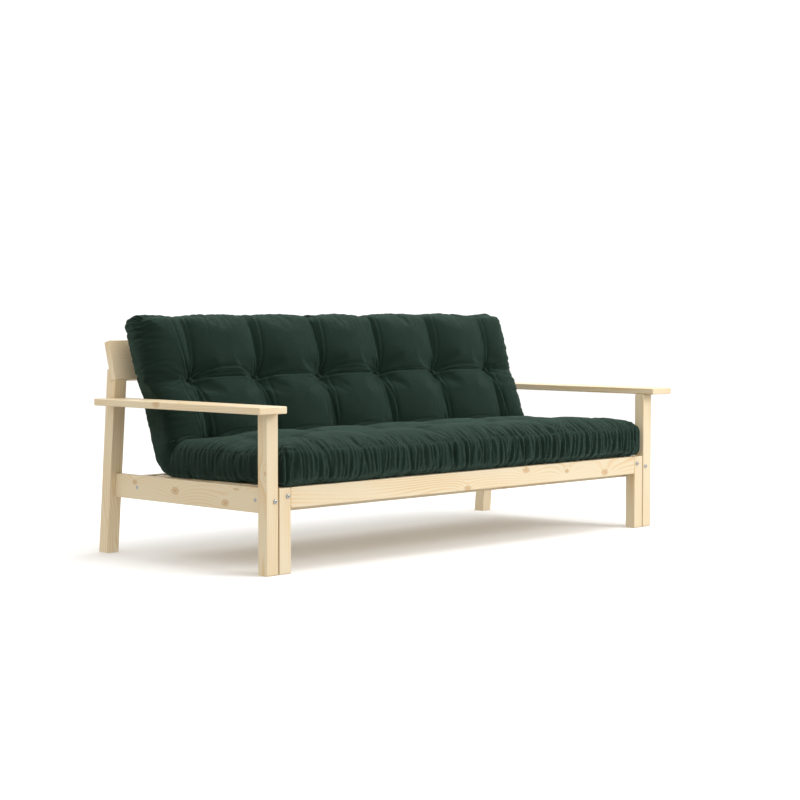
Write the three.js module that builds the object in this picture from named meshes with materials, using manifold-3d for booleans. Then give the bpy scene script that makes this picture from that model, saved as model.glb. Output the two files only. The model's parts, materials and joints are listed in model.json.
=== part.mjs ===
// Futon sofa bed: a fixed pine frame with flat armrests, a front section on its own legs that
// pulls out to make a bed, two interleaved combs of slats, and a folded futon mattress.
// Millimetres. X runs from the left end to the right end as seen from the front, Y from the
// front (-) to the rear (+), Z up from the floor. The origin is under the middle of the object.

import * as THREE from 'three';
import { mergeVertices } from 'three/addons/utils/BufferGeometryUtils.js';
import Module from 'manifold-3d';

const wasm = await Module();
wasm.setup();

// ---------------------------------------------------------------- driving dimensions

const GAP = 0.3; // between pieces that touch
const FRONT = -432.5; // front faces of the four front legs
const HALF = 1020; // middle of the object to the outer faces of the legs

const LEG = { wide: 50, deep: 44 };
const REAR_LEG = { wide: 50.5, deep: 48.5, foot: 863, lean: 5, blunt: 22 }; // foot: at the floor
const ARM = { top: 554.5, thick: 24, wide: 120.5, front: -46.5, rear: 840, edge: 3 };
const RAIL = { top: 285, high: 84, thick: 28 };
const BACK_RAIL = { high: 145, thick: 26, lean: 16, y: 808, z: 619.4 }; // y, z: lower front edge

const CROSS = { front: 54, frontWide: 56, frontThick: 27.5, rear: 701 }; // front faces, from FRONT
const CLEAT = { deep: 28, high: 27.7, short: 6 };

const PULL = { gap: 5.5, travel: 460, legDeep: 44.5, railHigh: 56, frontHigh: 68.5, railEnd: 681 };
const LEDGER = { deep: 27.7, high: 35.7 };
const TIE = { deep: 40, high: 35.7, end: 664 };
const STOP = { long: 40, high: 27.2, clear: 0.5 };

const SLAT = { thick: 20, wide: 70, moving: 10, fixed: 9, pitch: 97, fixedStart: 34 };

const MATTRESS = {
  wide: 1920,
  thick: 140,
  shift: -9, // it lies a little to the left
  front: -19, // front face, from FRONT
  base: 286, // underside, just clear of the slats
  lean: 18.6, // of the back section
  corner: 639.5, // where the underside and the rear face would meet, from FRONT
  back: 565, // from there to the top end, along the rear face
  slope: 50, // how far the upper front edge falls away
  soft: 30, // rounding of the other edges of the seat section
  heel: 25, // where the rear face of the back section starts, up from the fold
  crown: 85, // how far the top end of the back section curves
};

const BOLT = {
  r: 4, headR: 7.5, headHigh: 5, socketR: 3, socketDeep: 2.6, z: 243,
  frontLong: 94, rearLong: 98,
  past: 16, // how far a bolt hole runs beyond its nut
  stand: 1, // of a rear bolt's head off the leaning leg
};
const NUT = {
  r: 6.3, long: 27, back: 38, slotWide: 1.8, slotDeep: 1.6,
  blind: 5, // a rear nut goes in from inside the frame and stops short of the outer face
};
const CONNECTOR = { headR: 6.5, headHigh: 3.6, r: 3.5, long: 74, y: 715, slotWide: 2.4, slotDeep: 0.8 };
const SCREW = {
  r: 2.5, headR: 5, headHigh: 2.6, long: 36, z: 645,
  crossLong: 5, crossWide: 1.2, crossDeep: 1.2,
};

const EDGE = 2.5; // rounding of the planed edges
const SLAT_EDGE = 1.6;
const FOLD_STEPS = 14; // straight steps of the back section's heel

const rad = THREE.MathUtils.degToRad;
const railX = HALF - LEG.wide + RAIL.thick / 2; // middle of a fixed side rail
const pullLegX = HALF - LEG.wide * 1.5 - PULL.gap; // middle of a pull-out leg
const pullInner = pullLegX - LEG.wide / 2; // inner faces of the pull-out legs
const pullRailX = pullInner + RAIL.thick / 2;
const pullRailBase = RAIL.top - PULL.railHigh;
const slatBase = RAIL.top - SLAT.thick;
const rearLegFace = (z) => REAR_LEG.foot - Math.tan(rad(REAR_LEG.lean)) * z; // from FRONT

// ---------------------------------------------------------------- materials

const pine = new THREE.MeshStandardMaterial({ color: 0xe6d3ae, roughness: 0.5, metalness: 0 });
const zinc = new THREE.MeshStandardMaterial({ color: 0xb4b6b8, roughness: 0.35, metalness: 1 });
const cotton = new THREE.MeshStandardMaterial({ color: 0x1f2f28, roughness: 0.9, metalness: 0 });

// ---------------------------------------------------------------- shape helpers

// A closed outline through the points, with each corner rounded over the given length.
// A point written [x, y, SHARP] keeps its corner.
const SHARP = true;

function softOutline(points, round) {
  const shape = new THREE.Shape();
  const count = points.length;
  points.forEach(([x, y, sharp], i) => {
    const corner = new THREE.Vector2(x, y);
    const before = new THREE.Vector2().fromArray(points[(i + count - 1) % count]);
    const after = new THREE.Vector2().fromArray(points[(i + 1) % count]);
    const enter = before.sub(corner);
    const leave = after.sub(corner);
    const reach = sharp ? 1e-2 : Math.min(round, 0.4 * Math.min(enter.length(), leave.length()));
    enter.setLength(reach).add(corner);
    leave.setLength(reach).add(corner);
    if (i === 0) shape.moveTo(enter.x, enter.y);
    else shape.lineTo(enter.x, enter.y);
    shape.quadraticCurveTo(corner.x, corner.y, leave.x, leave.y);
  });
  shape.closePath();
  return shape;
}

// A board: the outline in XY, from z = 0 to z = thick, with all its edges eased.
function board(points, thick, edge = EDGE, steps = 2) {
  return new THREE.ExtrudeGeometry(softOutline(points, 2 * edge), {
    depth: thick - 2 * edge,
    curveSegments: 2,
    bevelThickness: edge,
    bevelSize: edge,
    bevelOffset: -edge,
    bevelSegments: steps,
  }).translate(0, 0, edge);
}

// The outline is in (Y, Z), and the thickness is centred on X.
function sideBoard(points, thick, edge, steps) {
  const turn = new THREE.Matrix4().set(0, 0, 1, 0, 1, 0, 0, 0, 0, 1, 0, 0, 0, 0, 0, 1);
  return board(points, thick, edge, steps).translate(0, 0, -thick / 2).applyMatrix4(turn);
}

// The outline is in (X, Z), and the thickness runs from y = 0 to y = thick.
function frontBoard(points, thick, edge, steps) {
  return board(points, thick, edge, steps).rotateX(Math.PI / 2).translate(0, thick, 0);
}

const rectangle = (x0, y0, x1, y1) => [[x0, y0], [x1, y0], [x1, y1], [x0, y1]];

function rod(radius, from, to, segments = 20) {
  const a = new THREE.Vector3(...from);
  const b = new THREE.Vector3(...to);
  const along = b.clone().sub(a);
  const up = new THREE.Vector3(0, 1, 0);
  const turn = new THREE.Quaternion().setFromUnitVectors(up, along.clone().normalize());
  const middle = a.add(b).multiplyScalar(0.5);
  return new THREE.CylinderGeometry(radius, radius, along.length(), segments)
    .applyQuaternion(turn)
    .translate(middle.x, middle.y, middle.z);
}

function solid(geometry) {
  const bare = geometry.clone();
  bare.deleteAttribute('normal');
  bare.deleteAttribute('uv');
  const merged = mergeVertices(bare, 1e-3);
  return new wasm.Manifold(new wasm.Mesh({
    numProp: 3,
    vertProperties: Float32Array.from(merged.attributes.position.array),
    triVerts: Uint32Array.from(merged.index.array),
  }));
}

// The first geometry with all the others cut away.
function cut(geometry, ...tools) {
  const left = tools.reduce((rest, tool) => rest.subtract(solid(tool)), solid(geometry));
  const mesh = left.getMesh();
  const result = new THREE.BufferGeometry();
  result.setAttribute('position', new THREE.BufferAttribute(mesh.vertProperties, 3));
  result.setIndex(new THREE.BufferAttribute(mesh.triVerts, 1));
  result.computeVertexNormals();
  return result;
}

function piece(name, geometry, material, x = 0, y = 0, z = 0) {
  const mesh = new THREE.Mesh(geometry, material);
  mesh.name = name;
  mesh.position.set(x, y, z);
  return mesh;
}

// Runs a maker for the left (-1) and the right (+1) end.
const bothEnds = (make) => [make(-1, 'left'), make(1, 'right')];

// ---------------------------------------------------------------- fasteners

// The profile is in (radius, Y), turned about Y.
function turned(profile, segments = 24) {
  return new THREE.LatheGeometry(profile.map(([x, y]) => new THREE.Vector2(x, y)), segments);
}

// Round-headed bolt with a hexagon socket. The shank runs along +Y from under the head.
function boltGeometry(shank) {
  const { r, headR, headHigh } = BOLT;
  const dome = [[0, 1], [0.45, 1], [0.8, 0.82], [1, 0.4], [1, 0]]; // shares of radius and height
  const head = dome.map(([x, y]) => [headR * x, -headHigh * y]);
  const body = turned([...head, [r, 0], [r, shank - 1], [r - 1, shank], [0, shank]]);
  const socket = rod(BOLT.socketR, [0, -headHigh - 1, 0], [0, BOLT.socketDeep - headHigh, 0], 6);
  return cut(body, socket);
}

// Cross dowel along X with a cross hole for the bolt and a screwdriver slot in the end on the
// given side. The other end may be shorter.
function barrelNut(side, less = 0) {
  const half = NUT.long / 2;
  const hole = rod(BOLT.r + GAP, [0, -NUT.r - 1, 0], [0, NUT.r + 1, 0]);
  const slot = new THREE.BoxGeometry(2 * NUT.slotDeep, 2.2 * NUT.r, NUT.slotWide);
  slot.translate(side * half, 0, 0);
  return cut(rod(NUT.r, [side * (less - half), 0, 0], [side * half, 0, 0], 24), hole, slot);
}

// Flush-headed connector bolt along X, head outwards, with a slot across the head.
function connectorBolt(side) {
  const { headR, headHigh, r, long } = CONNECTOR;
  const body = turned([[0, 0], [headR, 0], [headR, headHigh], [r, headHigh], [r, long], [0, long]]);
  const slot = new THREE.BoxGeometry(2.2 * headR, 2 * CONNECTOR.slotDeep, CONNECTOR.slotWide);
  return cut(body, slot).rotateZ(side * Math.PI / 2);
}

function screwGeometry() {
  const { headR, headHigh, r, long } = SCREW;
  const head = [[0, -headHigh], [headR * 0.6, -headHigh], [headR, -headHigh * 0.3], [headR, 0]];
  const body = turned([...head, [r, 0], [r, long - 1.6 * r], [0, long]], 16);
  const across = new THREE.BoxGeometry(SCREW.crossLong, 2 * SCREW.crossDeep, SCREW.crossWide);
  across.translate(0, -headHigh, 0);
  return cut(body, across, across.clone().rotateY(Math.PI / 2));
}

// ---------------------------------------------------------------- fixed frame

function frontLeg(side, end) {
  const top = ARM.top - ARM.thick - GAP;
  const across = side * (railX - HALF + LEG.wide / 2);
  const hole = rod(BOLT.r + GAP, [across, -1, BOLT.z], [across, LEG.deep + 1, BOLT.z]);
  const leg = cut(sideBoard(rectangle(0, 0, LEG.deep, top), LEG.wide), hole);
  return piece(`front_leg_${end}`, leg, pine, side * (HALF - LEG.wide / 2), FRONT);
}

// The lower front corner and the directions up and through the leaning back rail, in (Y, Z).
const railUp = new THREE.Vector2(Math.sin(rad(BACK_RAIL.lean)), Math.cos(rad(BACK_RAIL.lean)));
const railThrough = new THREE.Vector2(railUp.y, -railUp.x);
const railPoint = (up, through) => new THREE.Vector2(BACK_RAIL.y, BACK_RAIL.z)
  .addScaledVector(railUp, up)
  .addScaledVector(railThrough, through);

// Where the line through the rear of the notch comes out of the rear face of the leg.
function notchExit(from) {
  const slope = Math.tan(rad(REAR_LEG.lean));
  const reach = REAR_LEG.foot + REAR_LEG.deep - slope * from.y - from.x;
  return from.clone().addScaledVector(railUp, reach / (railUp.x + slope * railUp.y));
}

// Leans to the front at the top, and ends in a notch that the back rail sits in.
function rearLeg(side, end) {
  const inner = railPoint(-GAP, BACK_RAIL.thick + GAP);
  const exit = notchExit(inner);
  const lipZ = railPoint(-GAP, 0).y;
  const tip = exit.y - REAR_LEG.blunt;
  const outline = [
    [REAR_LEG.foot, 0],
    [REAR_LEG.foot + REAR_LEG.deep, 0],
    [rearLegFace(tip) + REAR_LEG.deep, tip],
    [inner.x + (tip - inner.y) * railUp.x / railUp.y, tip],
    [inner.x, inner.y, SHARP],
    [rearLegFace(lipZ), lipZ],
  ];
  const across = side * (railX - HALF + REAR_LEG.wide / 2);
  const boltY = rearLegFace(BOLT.z);
  const boltHole = rod(BOLT.r + GAP, [across, boltY - BOLT.past, BOLT.z],
    [across, boltY + REAR_LEG.deep + BOLT.past, BOLT.z]);
  const screwHole = screwRod(0, SCREW.r + GAP);
  const leg = cut(sideBoard(outline, REAR_LEG.wide, EDGE / 2), boltHole, screwHole);
  return piece(`rear_leg_${end}`, leg, pine, side * (HALF - REAR_LEG.wide / 2), FRONT);
}

// A rod along a back rail screw, square to the rear face of the leg and a little past its ends.
function screwRod(x, radius) {
  const normal = new THREE.Vector2(Math.cos(rad(REAR_LEG.lean)), Math.sin(rad(REAR_LEG.lean)));
  const y = rearLegFace(SCREW.z) + REAR_LEG.deep;
  const tip = SCREW.long + 1;
  return rod(radius, [x, y + SCREW.headR * normal.x, SCREW.z + SCREW.headR * normal.y],
    [x, y - tip * normal.x, SCREW.z - tip * normal.y]);
}

function armrest(side, end) {
  const underside = ARM.top - ARM.thick;
  const notch = rearLegFace(ARM.top) - GAP;
  const slot = REAR_LEG.wide + GAP;
  const outline = [
    [0, ARM.front], [ARM.wide, ARM.front], [ARM.wide, ARM.rear],
    [slot, ARM.rear], [slot, notch, SHARP], [0, notch],
  ].map(([x, ...rest]) => [side * x, ...rest]);
  return piece(`armrest_${end}`, board(outline, ARM.thick, ARM.edge), pine,
    side * (HALF - LEG.wide), FRONT, underside);
}

function sideRail(side, end) {
  const base = RAIL.top - RAIL.high;
  const start = LEG.deep + GAP;
  const outline = [
    [start, base], [rearLegFace(base) - GAP, base],
    [rearLegFace(RAIL.top) - GAP, RAIL.top], [start, RAIL.top],
  ];
  const frontNutY = LEG.deep + NUT.back;
  const rearNutY = rearLegFace(BOLT.z) - NUT.back;
  const reach = side * RAIL.thick;
  const recess = side * (RAIL.thick / 2 - CONNECTOR.headHigh - GAP);
  const along = (from, to) => rod(BOLT.r + GAP, [0, from, BOLT.z], [0, to, BOLT.z]);
  const blindEnd = side * (NUT.long / 2 - NUT.blind + GAP);
  const across = (radius, y, from = -reach, to = reach) => (
    rod(radius + GAP, [from, y, BOLT.z], [to, y, BOLT.z], 24)
  );
  const rail = cut(
    sideBoard(outline, RAIL.thick),
    along(0, frontNutY + BOLT.past),
    along(rearNutY - BOLT.past, rearNutY + NUT.back + BOLT.past),
    across(NUT.r, frontNutY),
    across(NUT.r, rearNutY, -reach, blindEnd),
    across(CONNECTOR.r, CONNECTOR.y),
    across(CONNECTOR.headR, CONNECTOR.y, recess),
  );
  return piece(`side_rail_${end}`, rail, pine, side * railX, FRONT);
}

function backRail() {
  const rail = frontBoard(rectangle(-HALF, 0, HALF, BACK_RAIL.high), BACK_RAIL.thick);
  rail.rotateX(-rad(BACK_RAIL.lean));
  rail.translate(0, BACK_RAIL.y, BACK_RAIL.z);
  const screwX = HALF - REAR_LEG.wide / 2;
  const drilled = cut(rail, screwRod(-screwX, SCREW.r + GAP), screwRod(screwX, SCREW.r + GAP));
  return piece('back_rail', drilled, pine, 0, FRONT);
}

function frontCrossRail() {
  const half = HALF - LEG.wide - GAP;
  const outline = rectangle(-half, 0, half, CROSS.frontWide);
  return piece('front_cross_rail', board(outline, CROSS.frontThick, SLAT_EDGE, 1), pine,
    0, FRONT + CROSS.front, RAIL.top - RAIL.high);
}

function rearCrossRail() {
  const half = HALF - LEG.wide - GAP;
  const y = CONNECTOR.y - CROSS.rear;
  const z = BOLT.z - RAIL.top + RAIL.high;
  const rail = frontBoard(rectangle(-half, 0, half, RAIL.high), RAIL.thick);
  const holes = [-1, 1].map((side) => rod(
    CONNECTOR.r + GAP, [side * (half + BOLT.past), y, z], [side * (half - CONNECTOR.long), y, z],
  ));
  return piece('rear_cross_rail', cut(rail, ...holes), pine, 0, FRONT + CROSS.rear, RAIL.top - RAIL.high);
}

function slatCleat() {
  const half = pullInner - CLEAT.short;
  const outline = rectangle(-half, 0, half, CLEAT.deep - GAP);
  return piece('slat_cleat', board(outline, CLEAT.high, SLAT_EDGE, 1), pine,
    0, FRONT + CROSS.rear - CLEAT.deep, slatBase - CLEAT.high - GAP);
}

function slat(name, x, start, end) {
  const outline = rectangle(-SLAT.wide / 2, start, SLAT.wide / 2, end);
  return piece(name, board(outline, SLAT.thick, SLAT_EDGE, 1), pine, x, FRONT, slatBase);
}

function fixedSlats() {
  const first = -(SLAT.fixed - 1) * SLAT.pitch;
  return Array.from({ length: SLAT.fixed }, (_, i) => slat(
    `fixed_slat_${i + 1}`, first + 2 * SLAT.pitch * i, SLAT.fixedStart, CROSS.rear - GAP,
  ));
}

function frameFasteners(side, end) {
  const x = side * railX;
  const frontNutY = FRONT + LEG.deep + NUT.back;
  const rearFace = FRONT + rearLegFace(BOLT.z) + REAR_LEG.deep;
  const rearNutY = FRONT + rearLegFace(BOLT.z) - NUT.back;
  const connector = connectorBolt(side);
  const rearShank = boltGeometry(BOLT.rearLong);
  const rearBolt = piece(`rear_leg_bolt_${end}`, rearShank, zinc, x, rearFace + BOLT.stand, BOLT.z);
  rearBolt.rotation.z = Math.PI;
  const connectorX = side * (HALF - LEG.wide + RAIL.thick);
  const screwX = side * (HALF - REAR_LEG.wide / 2);
  const screwY = FRONT + rearLegFace(SCREW.z) + REAR_LEG.deep + GAP;
  const screw = piece(`back_rail_screw_${end}`, screwGeometry(), zinc, screwX, screwY, SCREW.z);
  screw.rotation.set(rad(REAR_LEG.lean) - Math.PI, 0, 0);
  return [
    piece(`front_leg_bolt_${end}`, boltGeometry(BOLT.frontLong), zinc, x, FRONT - GAP, BOLT.z),
    rearBolt,
    piece(`front_barrel_nut_${end}`, barrelNut(side), zinc, x, frontNutY, BOLT.z),
    piece(`rear_barrel_nut_${end}`, barrelNut(-side, NUT.blind), zinc, x, rearNutY, BOLT.z),
    piece(`cross_rail_bolt_${end}`, connector, zinc, connectorX, FRONT + CONNECTOR.y, BOLT.z),
    screw,
  ];
}

// ---------------------------------------------------------------- pull-out front

function pullOutLeg(side, end) {
  const z = pullRailBase + PULL.railHigh / 2;
  const across = side * (pullRailX - pullLegX);
  const hole = rod(BOLT.r + GAP, [across, -1, z], [across, PULL.legDeep + 1, z]);
  const leg = cut(sideBoard(rectangle(0, 0, PULL.legDeep, RAIL.top), LEG.wide), hole);
  return piece(`pull_out_leg_${end}`, leg, pine, side * pullLegX, FRONT);
}

function pullOutRail(side, end) {
  const start = PULL.legDeep + GAP;
  const z = PULL.railHigh / 2;
  const nutY = PULL.legDeep + NUT.back;
  const rail = cut(
    sideBoard(rectangle(start, 0, PULL.railEnd, PULL.railHigh), RAIL.thick),
    rod(BOLT.r + GAP, [0, 0, z], [0, nutY + BOLT.past, z]),
    rod(NUT.r + GAP, [-RAIL.thick, nutY, z], [RAIL.thick, nutY, z], 24),
  );
  return piece(`pull_out_side_rail_${end}`, rail, pine, side * pullRailX, FRONT, pullRailBase);
}

function pullOutFrontRail() {
  const half = pullInner - GAP;
  const rail = frontBoard(rectangle(-half, 0, half, PULL.frontHigh), RAIL.thick);
  return piece('pull_out_front_rail', rail, pine, 0, FRONT, RAIL.top - PULL.frontHigh);
}

function slatLedger() {
  const half = pullInner - GAP;
  const ledger = board(rectangle(-half, 0, half, LEDGER.deep), LEDGER.high, SLAT_EDGE, 1);
  return piece('slat_ledger', ledger, pine, 0, FRONT + RAIL.thick + GAP, pullRailBase);
}

function tieRail() {
  const half = pullInner - GAP;
  const rail = board(rectangle(-half, 0, half, TIE.deep), TIE.high, SLAT_EDGE, 1);
  return piece('slat_tie_rail', rail, pine, 0, FRONT + TIE.end - TIE.deep, pullRailBase);
}

// Meets the fixed front cross rail when the front section is fully out.
function stopBlock(side, end) {
  const y = CROSS.front + CROSS.frontWide + PULL.travel + STOP.clear;
  const outline = rectangle(-RAIL.thick / 2, 0, RAIL.thick / 2, STOP.long);
  return piece(`stop_block_${end}`, board(outline, STOP.high, SLAT_EDGE, 1), pine,
    side * pullRailX, FRONT + y, pullRailBase - STOP.high - GAP);
}

function movingSlats() {
  const first = -(SLAT.moving - 1) * SLAT.pitch;
  return Array.from({ length: SLAT.moving }, (_, i) => slat(
    `sliding_slat_${i + 1}`, first + 2 * SLAT.pitch * i, RAIL.thick + GAP, TIE.end,
  ));
}

function pullOutFasteners(side, end) {
  const x = side * pullRailX;
  const nutY = FRONT + PULL.legDeep + NUT.back;
  const z = pullRailBase + PULL.railHigh / 2;
  return [
    piece(`pull_out_bolt_${end}`, boltGeometry(BOLT.frontLong), zinc, x, FRONT - GAP, z),
    piece(`pull_out_barrel_nut_${end}`, barrelNut(side), zinc, x, nutY, z),
  ];
}

// ---------------------------------------------------------------- mattress

// The mattress bends about a line at the middle of its thickness. In (Y, Z), from FRONT:
const halfThick = MATTRESS.thick / 2;
const backUp = new THREE.Vector2(Math.sin(rad(MATTRESS.lean)), Math.cos(rad(MATTRESS.lean)));
const backForward = new THREE.Vector2(-backUp.y, backUp.x);
const mitre = rad(90 - MATTRESS.lean) / 2; // each section's share of the fold
const fold = new THREE.Vector2(
  MATTRESS.corner - halfThick * Math.tan(mitre), MATTRESS.base + halfThick,
);

// The seat section ends in a round that the back section turns on.
function seatSection() {
  const { front, base, slope, soft } = MATTRESS;
  const top = base + MATTRESS.thick;
  const crease = halfThick * Math.tan(mitre);
  const shape = new THREE.Shape();
  shape.moveTo(front + soft, base);
  shape.lineTo(fold.x, base);
  shape.absarc(fold.x, fold.y, halfThick, -Math.PI / 2, Math.PI / 2 + mitre, false);
  shape.lineTo(fold.x - crease - 1, top);
  shape.lineTo(front + slope, top);
  shape.quadraticCurveTo(front, top, front, top - slope);
  shape.lineTo(front, base + soft);
  shape.quadraticCurveTo(front, base, front + soft, base);
  return mattressSolid('mattress_seat', shape);
}

// Outline in the section's own directions: up along the rear face, forward through the thickness.
function backSection() {
  const at = (up, through) => fold.clone()
    .addScaledVector(backUp, up)
    .addScaledVector(backForward, through);
  const top = MATTRESS.back - halfThick * Math.tan(mitre);
  const round = halfThick + 1; // clear of the round end of the seat section
  const crease = halfThick * Math.tan(mitre) + 1;
  const { heel, crown, slope } = MATTRESS;
  const shape = new THREE.Shape();
  const line = (up, through) => shape.lineTo(at(up, through).x, at(up, through).y);
  const bend = (up0, through0, up1, through1) => {
    const corner = at(up0, through0);
    const end = at(up1, through1);
    shape.quadraticCurveTo(corner.x, corner.y, end.x, end.y);
  };
  const start = at(heel, -halfThick);
  shape.moveTo(start.x, start.y);
  line(top - crown, -halfThick);
  bend(top, -halfThick, top, 0);
  line(top, halfThick - slope);
  bend(top, halfThick, top - slope, halfThick);
  line(crease, halfThick);
  const from = Math.PI / 2 - mitre;
  const to = -Math.acos(heel / round);
  for (let i = 0; i <= FOLD_STEPS; i += 1) {
    const angle = from + ((to - from) * i) / FOLD_STEPS;
    line(round * Math.cos(angle), round * Math.sin(angle));
  }
  shape.closePath();
  return mattressSolid('mattress_back', shape);
}

function mattressSolid(name, shape) {
  const depth = MATTRESS.wide;
  const body = new THREE.ExtrudeGeometry(shape, { depth, bevelEnabled: false, curveSegments: 10 });
  const turn = new THREE.Matrix4().set(0, 0, 1, 0, 1, 0, 0, 0, 0, 1, 0, 0, 0, 0, 0, 1);
  body.translate(0, 0, -depth / 2).applyMatrix4(turn);
  return piece(name, body, cotton, MATTRESS.shift, FRONT);
}

// ---------------------------------------------------------------- assembly

const frame = new THREE.Group();
frame.add(
  ...bothEnds(frontLeg),
  ...bothEnds(rearLeg),
  ...bothEnds(armrest),
  ...bothEnds(sideRail),
  backRail(),
  frontCrossRail(),
  rearCrossRail(),
  slatCleat(),
  ...fixedSlats(),
  ...bothEnds(frameFasteners).flat(),
);

const pullOut = new THREE.Group();
pullOut.add(
  pullOutFrontRail(),
  ...bothEnds(pullOutLeg),
  ...bothEnds(pullOutRail),
  slatLedger(),
  tieRail(),
  ...bothEnds(stopBlock),
  ...movingSlats(),
  ...bothEnds(pullOutFasteners).flat(),
);

const mattress = new THREE.Group();
mattress.add(seatSection(), backSection());

const sofaBed = new THREE.Group();
sofaBed.add(frame, pullOut, mattress);

export default sofaBed;
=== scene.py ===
"""Looks of the futon sofa bed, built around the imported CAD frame. Blender 4.5, metres."""

import json
import math

import bpy
import numpy as np
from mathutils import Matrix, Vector


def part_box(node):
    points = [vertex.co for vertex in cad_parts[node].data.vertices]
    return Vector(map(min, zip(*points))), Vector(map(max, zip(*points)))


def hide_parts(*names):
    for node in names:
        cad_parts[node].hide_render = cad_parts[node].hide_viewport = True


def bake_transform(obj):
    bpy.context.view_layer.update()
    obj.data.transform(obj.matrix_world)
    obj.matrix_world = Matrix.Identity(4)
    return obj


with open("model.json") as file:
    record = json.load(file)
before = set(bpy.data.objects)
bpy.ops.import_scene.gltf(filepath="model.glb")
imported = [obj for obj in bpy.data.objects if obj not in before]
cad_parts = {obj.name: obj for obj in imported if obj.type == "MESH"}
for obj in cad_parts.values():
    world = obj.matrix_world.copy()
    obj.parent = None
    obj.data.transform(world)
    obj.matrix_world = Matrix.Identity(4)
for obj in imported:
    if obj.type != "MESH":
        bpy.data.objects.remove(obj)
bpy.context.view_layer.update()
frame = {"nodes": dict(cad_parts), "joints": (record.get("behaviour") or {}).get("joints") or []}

rng = np.random.default_rng(7)

# ------------------------------------------------------------------ camera, light, floor

CAMERA_PLACE = (-5.044, -5.031, 0.867)
CAMERA_AZIMUTH = math.radians(45.24)
CAMERA_TILT = math.radians(2.74)
CAMERA_LENS = 85

OPEN_SKY = 1.12
SIDE_SKY = 1.02
SIDE_TINT = (1.0, 0.98, 0.93, 1)
WHITE = (1, 1, 1, 1)
UNDER_SKY = 0.60  # share of the strength that is left below the horizon
SIDE_REACH = (-0.9, 0.3)  # X of the direction, from the side sky to the open sky
UNDER_REACH = (-0.25, -0.02)  # Z of the direction, from below the horizon to the sky
LIGHT_TARGET = (0, 0, 0.4)
KEY_LIGHT = {
    "place": (2.6, -4.6, 3.0),
    "size": (3.0, 2.2),
    "power": 150,
    "colour": (1, 0.985, 0.97),
}
TOP_LIGHT = {
    "place": (0.4, -0.6, 4.2),
    "size": (4.0, 3.0),
    "power": 100,
    "colour": (1, 1, 1),
}

FLOOR_SIZE = 60
FLOOR_COLOUR = (0.95, 0.95, 0.95, 1)
FLOOR_ROUGH = 0.9


def make_camera():
    data = bpy.data.cameras.new("camera")
    data.lens = CAMERA_LENS
    camera = bpy.data.objects.new("camera", data)
    bpy.context.scene.collection.objects.link(camera)
    look = Vector((
        math.sin(CAMERA_AZIMUTH) * math.cos(CAMERA_TILT),
        math.cos(CAMERA_AZIMUTH) * math.cos(CAMERA_TILT),
        -math.sin(CAMERA_TILT),
    ))
    camera.location = CAMERA_PLACE
    camera.rotation_mode = "QUATERNION"
    camera.rotation_quaternion = look.to_track_quat("-Z", "Y")
    bpy.context.scene.camera = camera


def area_light(name, place, size, power, colour):
    data = bpy.data.lights.new(name, "AREA")
    data.shape = "RECTANGLE"
    data.size, data.size_y = size
    data.energy = power
    data.color = colour
    light = bpy.data.objects.new(name, data)
    light.location = place
    light.rotation_mode = "QUATERNION"
    light.rotation_quaternion = (Vector(LIGHT_TARGET) - Vector(place)).to_track_quat("-Z", "Y")
    bpy.context.scene.collection.objects.link(light)


def fade(tree, value, reach, shades):
    """A value that goes from one shade to another while the input crosses reach."""
    node = tree.nodes.new("ShaderNodeMapRange")
    tree.links.new(value, node.inputs["Value"])
    for name, number in zip(("From Min", "From Max", "To Min", "To Max"), (*reach, *shades)):
        node.inputs[name].default_value = number
    return node.outputs["Result"]


def make_sky():
    """A white sky, dimmer below the horizon, and a little dimmer and warmer to the left."""
    world = bpy.data.worlds.new("studio")
    world.use_nodes = True
    tree = world.node_tree
    background = tree.nodes["Background"]
    way = tree.nodes.new("ShaderNodeTexCoord").outputs["Generated"]
    split = tree.nodes.new("ShaderNodeSeparateXYZ")
    tree.links.new(way, split.inputs[0])
    side = fade(tree, split.outputs["X"], SIDE_REACH, (SIDE_SKY, OPEN_SKY))
    below = fade(tree, split.outputs["Z"], UNDER_REACH, (UNDER_SKY, 1.0))
    strength = tree.nodes.new("ShaderNodeMath")
    strength.operation = "MULTIPLY"
    tree.links.new(side, strength.inputs[0])
    tree.links.new(below, strength.inputs[1])
    tree.links.new(strength.outputs[0], background.inputs["Strength"])
    tint = tree.nodes.new("ShaderNodeMix")
    tint.data_type = "RGBA"
    tint.inputs[6].default_value = SIDE_TINT
    tint.inputs[7].default_value = WHITE
    tree.links.new(fade(tree, split.outputs["X"], SIDE_REACH, (0, 1)), tint.inputs[0])
    tree.links.new(tint.outputs[2], background.inputs["Color"])
    bpy.context.scene.world = world


def make_light():
    bpy.context.scene.view_settings.view_transform = "Standard"
    make_sky()
    area_light("key", **KEY_LIGHT)
    area_light("top", **TOP_LIGHT)


def make_floor():
    bpy.ops.mesh.primitive_plane_add(size=FLOOR_SIZE)
    floor = bpy.context.object
    floor.name = "floor"
    material = bpy.data.materials.new("floor")
    material.use_nodes = True
    shader = material.node_tree.nodes["Principled BSDF"]
    shader.inputs["Base Color"].default_value = FLOOR_COLOUR
    shader.inputs["Roughness"].default_value = FLOOR_ROUGH
    floor.data.materials.append(material)
    floor.visible_diffuse = False


# ------------------------------------------------------------------ shader helpers


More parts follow.
